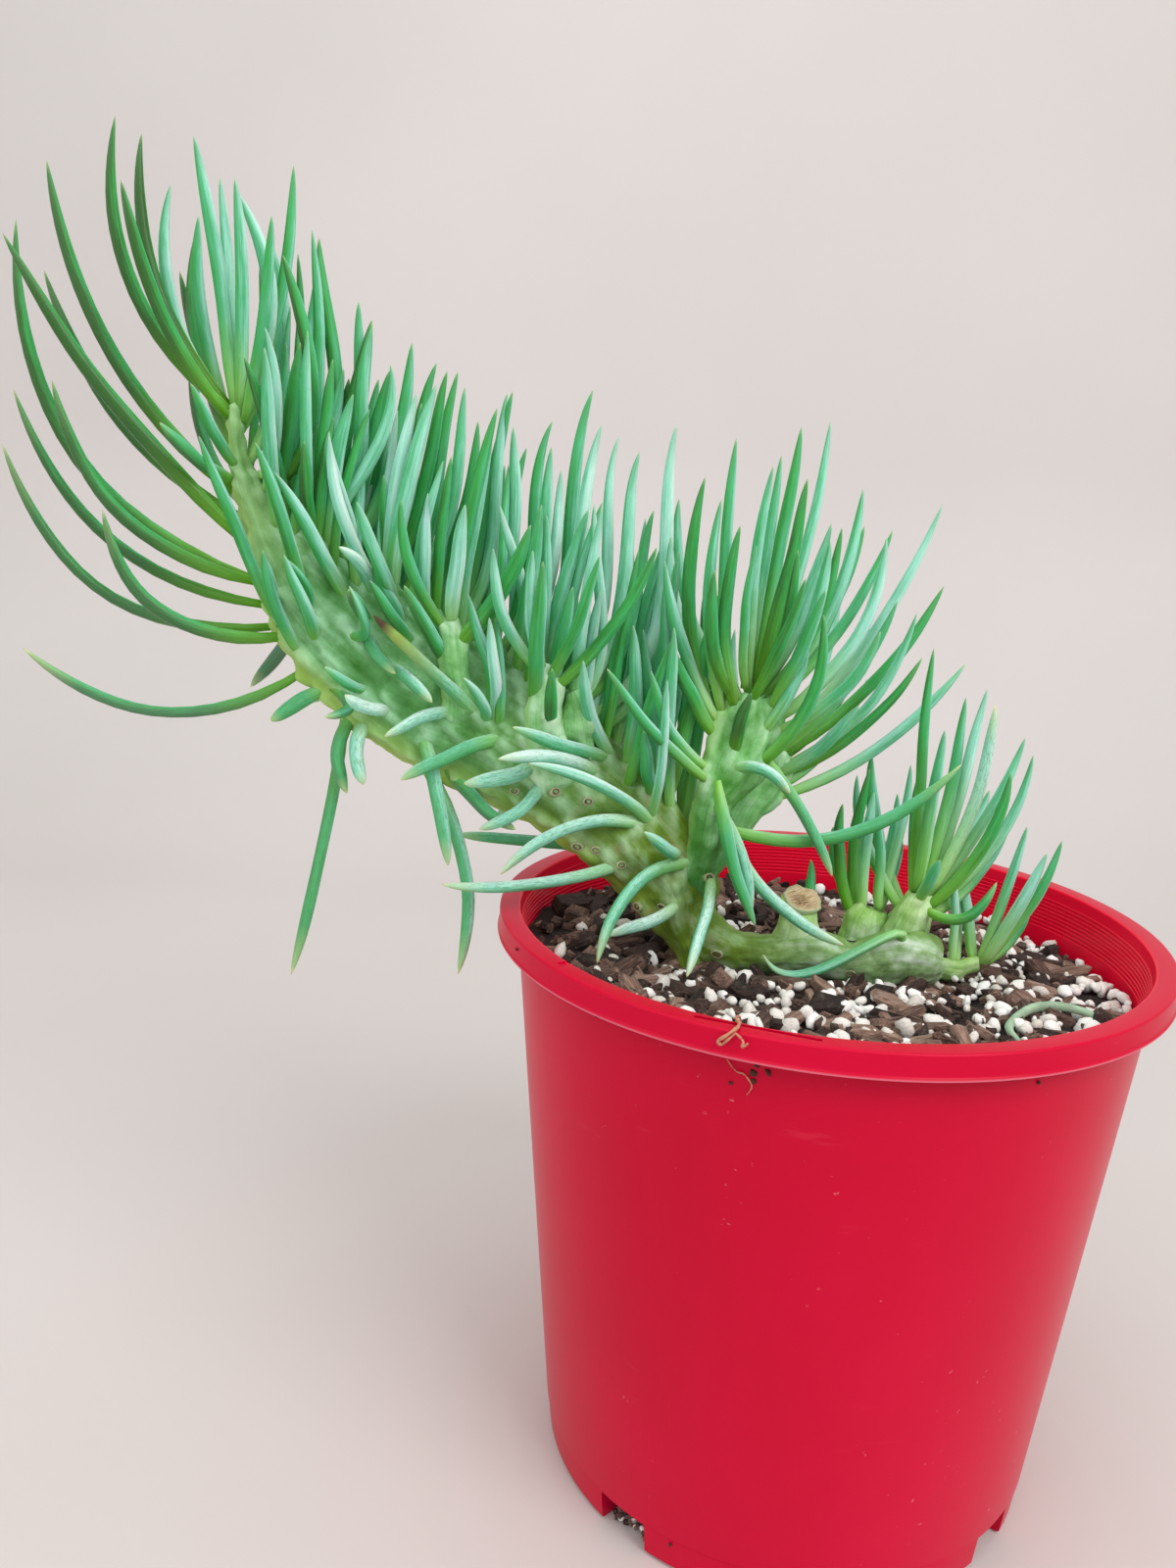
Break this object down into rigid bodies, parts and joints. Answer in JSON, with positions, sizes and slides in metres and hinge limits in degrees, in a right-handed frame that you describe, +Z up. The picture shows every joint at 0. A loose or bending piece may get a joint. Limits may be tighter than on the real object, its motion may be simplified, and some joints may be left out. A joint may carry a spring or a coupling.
{
  "type": "potted senecio",
  "caption": "Crested succulent senecio with blue-green finger leaves, leaning out of a round red plastic nursery pot filled with bark and perlite mix.",
  "frame": {"origin": "middle of the pot's flat underside", "axes": "+Z up along the pot's axis; the plant's front faces -Y and its crest leans towards -X"},
  "size_m": [0.3456, 0.2, 0.39],
  "materials": {
    "pot": "satin red injection-moulded plastic",
    "potting_mix": "loose dark bark chips with white perlite grains",
    "crested_stem": "blue-green leaves with a pale waxy bloom on an olive-green stem",
    "creeping_stem": "pale waxy green stem with blue-green leaves",
    "fallen_leaf": "dull pale green, partly dried"
  },
  "bodies": {
    "root": {"pot": "pot", "potting_mix": "potting_mix", "crested_stem": "crested_stem", "creeping_stem": "creeping_stem", "fallen_leaf": "fallen_leaf"}
  },
  "joints": []
}
